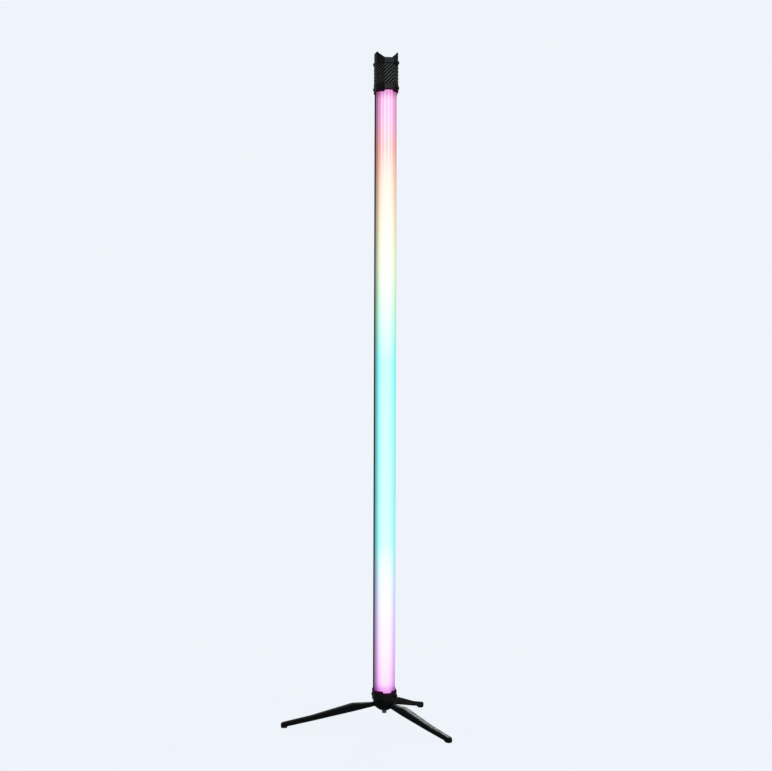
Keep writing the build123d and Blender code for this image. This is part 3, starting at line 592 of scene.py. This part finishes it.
def ring_faces(rings, closed=False, cap_ends=False, start=0):
    """Faces through rings of points, each ring a loop. closed joins the last ring to the first."""
    count = len(rings[0])
    faces = []
    for r in range(len(rings) if closed else len(rings) - 1):
        a = start + r * count
        b = start + ((r + 1) % len(rings)) * count
        for k in range(count):
            n = (k + 1) % count
            faces.append((a + k, a + n, b + n, b + k))
    if cap_ends:
        last = start + (len(rings) - 1) * count
        faces.append(tuple(reversed(range(start, start + count))))
        faces.append(tuple(range(last, last + count)))
    return faces


def mesh_of(name, points, faces, material, attribute=None, values=()):
    """A mesh from points in millimetres, with one number per point if an attribute is named."""
    mesh = bpy.data.meshes.new(name)
    mesh.from_pydata([[c * MM for c in p] for p in points], [], faces)
    mesh.materials.append(material)
    if attribute:
        mesh.attributes.new(attribute, "FLOAT", "POINT").data.foreach_set("value", values)
    return mesh


# ======== The diffuser ========


def arc_points(radius, start, end, steps):
    """Points on an arc about the tube's axis, at angles in degrees from the front."""
    turns = [math.radians(start + (end - start) * k / steps) for k in range(steps + 1)]
    return [(radius * math.sin(a), -radius * math.cos(a)) for a in turns]


def diffuser_section():
    """The frosted cover's closed outline in millimetres: outer arc, edge, inner rib, inner arc, inner rib."""
    inner_r = TUBE_R - DIFFUSER_WALL
    rib_front, rib_back = INNER_RIB_Y
    outer_reach = math.degrees(math.acos(-DIFFUSER_EDGE_Y / TUBE_R))
    inner_reach = math.degrees(math.acos(-rib_front / inner_r))
    edge_x = math.sqrt(inner_r ** 2 - DIFFUSER_EDGE_Y ** 2)
    rib_x = math.sqrt(inner_r ** 2 - rib_back ** 2)
    right = [(edge_x, DIFFUSER_EDGE_Y), (rib_x, rib_back), (INNER_RIB_X, rib_back), (INNER_RIB_X, rib_front)]
    left = [(-x, y) for x, y in reversed(right)]
    outer_steps, inner_steps = DIFFUSER_STEPS
    outer = arc_points(TUBE_R, -outer_reach, outer_reach, outer_steps)
    inner = arc_points(inner_r, inner_reach, -inner_reach, inner_steps)
    return outer + right + inner + left


def make_diffuser():
    low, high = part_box("diffuser")
    material = lit_diffuser("lit_diffuser", BOTTOM_RIM_Z * MM, TOP_RIM_Z * MM)
    section = diffuser_section()
    levels = [low.z + (high.z - low.z) * k / DIFFUSER_LEVELS for k in range(DIFFUSER_LEVELS + 1)]
    rings = [[(x, y, z / MM) for x, y in section] for z in levels]
    points = [p for ring in rings for p in ring]
    mesh = mesh_of("diffuser_cover", points, ring_faces(rings, cap_ends=True), material)
    shade(mesh, 40)
    new_piece("diffuser_cover", mesh, "light", "frosted_diffuser", "diffuser")


# ======== The ribbed grip ========


def cap_corners(inset):
    """The caps' eight corners, counter-clockwise from the front's right, drawn in by inset."""
    reach = (CAP_APOTHEM - inset) / math.cos(math.pi / 8)
    turns = [math.radians(45 * k - 67.5) for k in range(8)]
    return [Vector((reach * math.cos(a), reach * math.sin(a))) for a in turns]


def rounded_loop(inset, radius, step):
    """Points, outward normals and distances along the caps' outline with rounded corners."""
    corners = cap_corners(inset)
    loop = []
    travelled = 0.0
    for k, corner in enumerate(corners):
        before = (corner - corners[k - 1]).normalized()
        after = (corners[(k + 1) % 8] - corner).normalized()
        turn = before.angle(after)
        cut = radius * math.tan(turn / 2)
        normal = Vector((before.y, -before.x))
        centre = corner - before * cut - normal * radius
        pieces = max(2, round(radius * turn / step))
        for i in range(pieces):
            spun = Matrix.Rotation(turn * i / pieces, 2) @ normal
            loop.append((centre + spun * radius, spun, travelled))
            travelled += radius * turn / pieces
        straight = (corners[(k + 1) % 8] - corner).length
        next_turn = after.angle((corners[(k + 2) % 8] - corners[(k + 1) % 8]).normalized())
        straight -= cut + radius * math.tan(next_turn / 2)
        start = corner + after * cut
        side = Vector((after.y, -after.x))
        pieces = max(2, round(straight / step))
        for i in range(pieces):
            loop.append((start + after * straight * i / pieces, side, travelled))
            travelled += straight / pieces
    return loop, travelled


def smooth_step(value, low, high):
    t = min(1.0, max(0.0, (value - low) / (high - low)))
    return t * t * (3 - 2 * t)


def rib_height(along, z, pitch):
    """From 0 in a groove to 1 on a rounded rib's top. The ribs climb at 45 degrees."""
    phase = ((along - z) / pitch) % 1.0
    return smooth_step(1 - abs(2 * phase - 1), *RIB_FLANK)


def clear_of_lugs(point, z):
    """Whether a point on the grip is outside the crown's two screw lugs."""
    for angle in SCREW_ANGLES:
        turn = math.radians(angle)
        across = -point.x * math.sin(turn) + point.y * math.cos(turn)
        ahead = point.x * math.cos(turn) + point.y * math.sin(turn)
        if ahead > 0 and math.hypot(across, z - LUG_Z) < LUG_R:
            return False
    return True


def make_grip(material):
    """The rubber sleeve: rings of points round the eight sides, raised where a rib passes."""
    low, high = (corner.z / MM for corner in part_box("grip_sleeve"))
    loop, perimeter = rounded_loop(RIB_HEIGHT, GRIP_CORNER_R, GRIP_STEP)
    pitch = perimeter / RIB_COUNT
    inner = rounded_loop(CAP_WALL, GRIP_INNER_CORNER_R, GRIP_STEP)[0]
    levels = [low + (high - low) * k / GRIP_LEVELS for k in range(GRIP_LEVELS + 1)]
    rings = []
    heights = []
    for z in levels:
        from_end = min(z - low, high - z)
        edge = smooth_step(from_end, RIB_END - RIB_RISE, RIB_END)
        inset = GRIP_EDGE_INSET * (1 - smooth_step(from_end, 0, GRIP_EDGE_ROUND))
        ring = []
        for point, normal, along in loop:
            rise = rib_height(along, z, pitch) * edge
            surface = max(rise, BAND_RISE * (1 - edge))
            if not clear_of_lugs(point, z):
                rise = surface = 0
            out = point + normal * (RIB_HEIGHT * surface - inset)
            ring.append((out.x, out.y, z))
            heights.append(max(rise, BAND_WEAR * (1 - edge)))
        rings.append(ring)
    count = len(loop)
    back = [min(inner, key=lambda p: (p[0] - outer[0]).length)[0] for outer in loop]
    for z in (high, low):
        rings.append([(p.x, p.y, z) for p in back])
        heights += [INSIDE_WEAR] * count
    points = [p for ring in rings for p in ring]
    mesh = mesh_of("grip_ribs", points, ring_faces(rings, closed=True), material, "rib", heights)
    shade(mesh, 50)
    new_piece("grip_ribs", mesh, "light", "grip_rubber", "grip_sleeve")


# ======== The cap screws ========

# A screw's half outline: radius and height over its seat, and how much of the flutes' depth it has.
SCREW_OUTLINE = (
    (1.3, -7.5, 0), (1.95, -6.9, 0), (1.95, 0.0, 0), (SCREW_HEAD_R - 0.3, 0.0, 0), (SCREW_HEAD_R, 0.3, 0),
    (SCREW_HEAD_R, 0.6, 1), (SCREW_HEAD_R, 3.0, 1), (SCREW_HEAD_R, 3.3, 0), (SCREW_HEAD_R - 0.2, 3.75, 0),
    (SCREW_HEAD_R - 0.65, 4.0, 0),
)
SOCKET_R = 1.75
SOCKET_HEIGHTS = (4.0, 3.85, 1.8)
SCREW_STEPS = SCREW_FLUTES * 4


def socket_radius(turn, reach):
    """A hexagon's radius at an angle, for a radius at its corners."""
    within = (turn + math.pi / 6) % (math.pi / 3) - math.pi / 6
    return reach * math.cos(math.pi / 6) / math.cos(within)


def screw_rings():
    """One cap screw about its own axis: rings of (point, wear)."""
    turns = [2 * math.pi * k / SCREW_STEPS for k in range(SCREW_STEPS)]
    rings = []
    for radius, height, fluted in SCREW_OUTLINE:
        ring = []
        for turn in turns:
            groove = 0.5 - 0.5 * math.cos(SCREW_FLUTES * turn)
            r = radius - FLUTE_DEPTH * groove * fluted
            wear = (1 - groove) * FLUTE_WEAR if height > 0 else 0
            ring.append(((r * math.cos(turn), r * math.sin(turn), height), wear))
        rings.append(ring)
    for height, reach in zip(SOCKET_HEIGHTS, (SOCKET_R + 0.15, SOCKET_R, SOCKET_R)):
        radii = [socket_radius(turn, reach) for turn in turns]
        rings.append([((r * math.cos(t), r * math.sin(t), height), 0) for r, t in zip(radii, turns)])
    return rings


def make_cap_screws(node, material):
    """A cap's two fluted socket screws."""
    low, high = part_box(node)
    z = (low.z + high.z) / 2 / MM
    rings = screw_rings()
    points = []
    wear = []
    faces = []
    for angle in SCREW_ANGLES:
        out = Vector((math.cos(math.radians(angle)), math.sin(math.radians(angle)), 0))
        side = Vector((-out.y, out.x, 0))
        faces += ring_faces(rings, cap_ends=True, start=len(points))
        for ring in rings:
            for (a, b, height), worn in ring:
                point = side * a + out * (SCREW_SEAT + height)
                points.append((point.x, point.y, z + b))
                wear.append(worn)
    mesh = mesh_of(f"{node}_shape", points, faces, material, "edge", wear)
    shade(mesh, 35)
    new_piece(f"{node}_shape", mesh, "light", slot_of_node(node), node)


# ======== The panel's display and key legends ========


def flat_shape(name, outline, face_y, body, material, slot):
    """A thin raised shape on the back, from an (x, z) outline in millimetres."""
    grid = bmesh.new()
    front = [grid.verts.new((x * MM, face_y * MM, z * MM)) for x, z in outline]
    face = grid.faces.new(front)
    made = bmesh.ops.extrude_face_region(grid, geom=[face])
    moved = [v for v in made["geom"] if isinstance(v, bmesh.types.BMVert)]
    bmesh.ops.translate(grid, verts=moved, vec=(0, MARK_DEPTH * MM, 0))
    bmesh.ops.recalc_face_normals(grid, faces=grid.faces)
    bmesh.ops.bevel(
        grid, geom=[e for e in grid.edges if e.calc_face_angle(0) > 1], offset=MARK_ROUND * MM,
        segments=1, affect="EDGES", clamp_overlap=True,
    )
    mesh = bpy.data.meshes.new(name)
    grid.to_mesh(mesh)
    grid.free()
    mesh.materials.append(material)
    shade(mesh)
    new_piece(name, mesh, body, slot)


def bar(x, z, width, height):
    """A rectangle's outline about a point."""
    return [
        (x - width / 2, z - height / 2), (x + width / 2, z - height / 2),
        (x + width / 2, z + height / 2), (x - width / 2, z + height / 2),
    ]


def ring_sector(x, z, inner, outer, start, end, steps=20):
    """An open ring's outline about a point, from one angle to another in degrees."""
    turns = [math.radians(start + (end - start) * k / steps) for k in range(steps + 1)]
    out = [(x + outer * math.cos(a), z + outer * math.sin(a)) for a in turns]
    back = [(x + inner * math.cos(a), z + inner * math.sin(a)) for a in reversed(turns)]
    return out + back


def plus_sign(x, z, size, width):
    s, w = size / 2, width / 2
    return [
        (x - s, z - w), (x - w, z - w), (x - w, z - s), (x + w, z - s), (x + w, z - w), (x + s, z - w),
        (x + s, z + w), (x + w, z + w), (x + w, z + s), (x - w, z + s), (x - w, z + w), (x - s, z + w),
    ]


def make_legends(material):
    """Generic marks on the four keys: a power ring, a mode ring, a plus and a minus."""
    marks = {
        "power_button": lambda z: [
            ring_sector(0, z, *POWER_RING), bar(0, z + POWER_STROKE_RISE, *POWER_STROKE),
        ],
        "mode_button": lambda z: [ring_sector(0, z, *MODE_RING, MODE_RING_STEPS)],
        "plus_button": lambda z: [plus_sign(0, z, PLUS_SIZE, MARK_WIDTH)],
        "minus_button": lambda z: [bar(0, z, PLUS_SIZE, MARK_WIDTH)],
    }
    for button, outlines in marks.items():
        low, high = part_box(button)
        middle = (low.z + high.z) / 2 / MM
        for number, outline in enumerate(outlines(middle)):
            name = f"{button}_mark_{number}"
            flat_shape(name, outline, high.y / MM - MARK_SINK, button, material, "key_plastic")


def make_display(material):
    """A stack of level bars under three cells, behind the window."""
    low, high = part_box("display_module")
    face = high.y / MM - DISPLAY_SINK
    middle_z = (low.z + high.z) / 2 / MM
    for k in range(LEVEL_COUNT):
        z = middle_z - LEVEL_DROP + k * LEVEL_PITCH
        outline = bar(0, z, LEVEL_WIDTH - k * LEVEL_TAPER, LEVEL_HEIGHT)
        flat_shape(f"display_level_{k}", outline, face, "light", material, "display")
    for k in range(3):
        outline = bar((k - 1) * CELL_PITCH, middle_z + CELL_RISE, *CELL_SIZE)
        flat_shape(f"display_cell_{k}", outline, face, "light", material, "display")


# ======== Dressing the frame ========


def dress_nodes(looks):
    """Gives every CAD node the material of its slot."""
    for node, obj in nodes.items():
        slot = slot_of_node(node)
        obj.data.materials.clear()
        obj.data.materials.append(looks[slot])


def make_looks():
    steel = metal("plated_steel", (0.62, 0.62, 0.63, 1), (0.42, 0.42, 0.43, 1), 0.3, (700, 700, 5200))
    brass = metal("turned_brass", (0.72, 0.53, 0.24, 1), (0.45, 0.3, 0.12, 1), 0.3, (500, 500, 6000))
    return {
        "black_anodised": anodised("black_anodised"),
        "cap_plastic": moulded_plastic("cap_plastic", CAP_DARK, CAP_LIGHT),
        "core_plastic": moulded_plastic("core_plastic", 0.018, 0.03, 0.55),
        "grip_rubber": ribbed_rubber("grip_rubber"),
        "seal_rubber": soft_rubber("seal_rubber", 0.012, 0.024),
        "foot_rubber": soft_rubber("foot_rubber", 0.006, 0.012),
        "screw_black": powder_coat("screw_black", 0.01, 0.02, 0.34),
        "insert_brass": brass,
        "board_white": circuit_board("white_board", (0.75, 0.76, 0.75, 1), (0.62, 0.63, 0.62, 1)),
        "board_green": circuit_board("green_board", (0.012, 0.09, 0.04, 1), (0.03, 0.16, 0.08, 1)),
        "emitter": plain_plastic("led_package", (0.86, 0.8, 0.55, 1), (0.9, 0.88, 0.75, 1), 0.3),
        "component": plain_plastic("component", (0.02, 0.02, 0.022, 1), (0.05, 0.05, 0.052, 1), 0.4),
        "cell_wrap": plain_plastic("cell_wrap", (0.02, 0.13, 0.38, 1), (0.03, 0.18, 0.46, 1), 0.3),
        "nickel": metal("nickel_strip", (0.7, 0.68, 0.64, 1), (0.5, 0.48, 0.44, 1), 0.3, (2500, 60, 60)),
        "cradle_plastic": plain_plastic("cradle_plastic", (0.5, 0.49, 0.45, 1), (0.6, 0.59, 0.55, 1), 0.55),
        "wire": plain_plastic("wire_sleeve", (0.5, 0.03, 0.02, 1), (0.42, 0.02, 0.02, 1), 0.45),
        "panel_plastic": moulded_plastic("panel_plastic", 0.014, 0.024, 0.38, 2200),
        "window": tinted_window("display_window"),
        "display": plain_plastic("display_glass", (0.006, 0.008, 0.01, 1), (0.01, 0.012, 0.016, 1), 0.2),
        "key_plastic": moulded_plastic("key_plastic", 0.07, 0.1, 0.5, 2400),
        "switch": steel,
        "steel": steel,
        "hub_cast": powder_coat("hub_coat", 0.004, 0.008, 0.46, 0.2),
        "leg_cast": powder_coat("leg_coat", 0.003, 0.007, 0.44, 0.2),
        "frosted_diffuser": plain_plastic("frosted_plastic", (0.8, 0.8, 0.8, 1), (0.85, 0.85, 0.85, 1), 0.5),
    }


# Rounding widths in millimetres of the pieces whose edges show.
ROUNDED = {
    "crown": 0.45,
    "top_collar": 0.4,
    "bottom_collar": 0.45,
    "hub_body": 0.5,
    "control_panel": 0.15,
    "clamp_screw": 0.12,
    "port_cover": 0.3,
    "leg_1": 0.5,
    "leg_2": 0.5,
    "leg_3": 0.5,
    "foot_1": 0.3,
    "foot_2": 0.3,
    "foot_3": 0.3,
    "power_button": 0.12,
    "mode_button": 0.12,
    "plus_button": 0.12,
    "minus_button": 0.12,
    "back_housing": 0.25,
    "hub_pad": 0.1,
    "top_thread_insert": 0.12,
}


# ======== Studio ========


def make_camera():
    data = bpy.data.cameras.new("camera")
    data.sensor_width = SENSOR_WIDTH
    data.lens = FOCAL_LENGTH
    data.clip_end = 100
    camera = bpy.data.objects.new("camera", data)
    scene.collection.objects.link(camera)
    turn = math.radians(CAMERA_AZIMUTH)
    camera.location = (math.sin(turn) * CAMERA_DISTANCE, -math.cos(turn) * CAMERA_DISTANCE, CAMERA_HEIGHT)
    aim = Euler((math.radians(90 + CAMERA_TILT), 0, turn + math.radians(CAMERA_PAN))).to_matrix()
    camera.rotation_euler = (aim @ Matrix.Rotation(math.radians(CAMERA_ROLL), 3, "Z")).to_euler()
    scene.camera = camera


def make_world():
    """Pale backdrop for the camera, and a weaker even light on the object."""
    world = bpy.data.worlds.new("studio")
    world.use_nodes = True
    tree = world.node_tree
    backdrop = tree.nodes["Background"]
    backdrop.inputs["Color"].default_value = BACKGROUND
    fill = tree.nodes.new("ShaderNodeBackground")
    fill.inputs["Color"].default_value = FILL_COLOUR
    fill.inputs["Strength"].default_value = FILL_STRENGTH
    path = tree.nodes.new("ShaderNodeLightPath")
    mix = tree.nodes.new("ShaderNodeMixShader")
    tree.links.new(path.outputs["Is Camera Ray"], mix.inputs[0])
    tree.links.new(fill.outputs[0], mix.inputs[1])
    tree.links.new(backdrop.outputs[0], mix.inputs[2])
    tree.links.new(mix.outputs[0], tree.nodes["World Output"].inputs["Surface"])
    scene.world = world


def make_floor():
    """A pale floor that fades into the backdrop away from the object. Only the camera sees it."""
    mesh = bpy.data.meshes.new("floor")
    turns = [2 * math.pi * k / FLOOR_STEPS for k in range(FLOOR_STEPS)]
    points = [(FLOOR_RADIUS * math.cos(a), FLOOR_RADIUS * math.sin(a), 0) for a in turns]
    mesh.from_pydata(points, [], [tuple(range(FLOOR_STEPS))])
    floor = bpy.data.objects.new("floor", mesh)
    scene.collection.objects.link(floor)
    floor.visible_diffuse = False
    floor.visible_glossy = False
    floor.visible_transmission = False
    s = Shader("floor", roughness=0.9, specular=0.0)
    s.bsdf.inputs["Base Color"].default_value = FLOOR_COLOUR
    s.bsdf.inputs["Emission Color"].default_value = BACKGROUND
    s.bsdf.inputs["Emission Strength"].default_value = FLOOR_LEVEL
    distance = s.node("ShaderNodeVectorMath", operation="LENGTH")
    s.link(s.place, distance.inputs[0])
    s.feed("Alpha", s.remap(distance.outputs["Value"], *FLOOR_FADE, 1, 0, smooth=True))
    mesh.materials.append(s.material)


def area_light(name, place, size, power):
    """A rectangular lamp that the camera doesn't see, aimed at the object's middle."""
    data = bpy.data.lights.new(name, "AREA")
    data.shape = "RECTANGLE"
    data.size, data.size_y = size
    data.energy = power
    lamp = bpy.data.objects.new(name, data)
    lamp.location = place
    lamp.visible_camera = False
    lamp.rotation_euler = (Vector(LAMP_AIM) - lamp.location).to_track_quat("-Z", "Y").to_euler()
    scene.collection.objects.link(lamp)


def make_studio():
    make_camera()
    make_world()
    make_floor()
    for lamp in LAMPS:
        area_light(*lamp)
    scene.view_settings.view_transform = "Standard"


def build():
    looks = make_looks()
    dress_nodes(looks)
    make_diffuser()
    make_grip(looks["grip_rubber"])
    for node in ("bottom_collar_screws", "top_collar_screws", "crown_screws"):
        make_cap_screws(node, looks["screw_black"])
    cap_looks = {
        "bottom_collar": painted_glow_rim_plastic("bottom_collar_plastic", BOTTOM_RIM_Z, -1),
        "top_collar": painted_glow_rim_plastic("top_collar_plastic", TOP_RIM_Z, 1),
        "crown": groove_painted_shade("crown_plastic", *CROWN_GROOVE_Z),
    }
    for node, width in ROUNDED.items():
        softened(node, width, cap_looks.get(node, looks[slot_of_node(node)]))
    legend = plain_plastic("key_legend", (0.6, 0.6, 0.6, 1), (0.7, 0.7, 0.7, 1), 0.5)
    make_legends(legend)
    make_display(lit_display("display_light"))
    make_studio()


build()
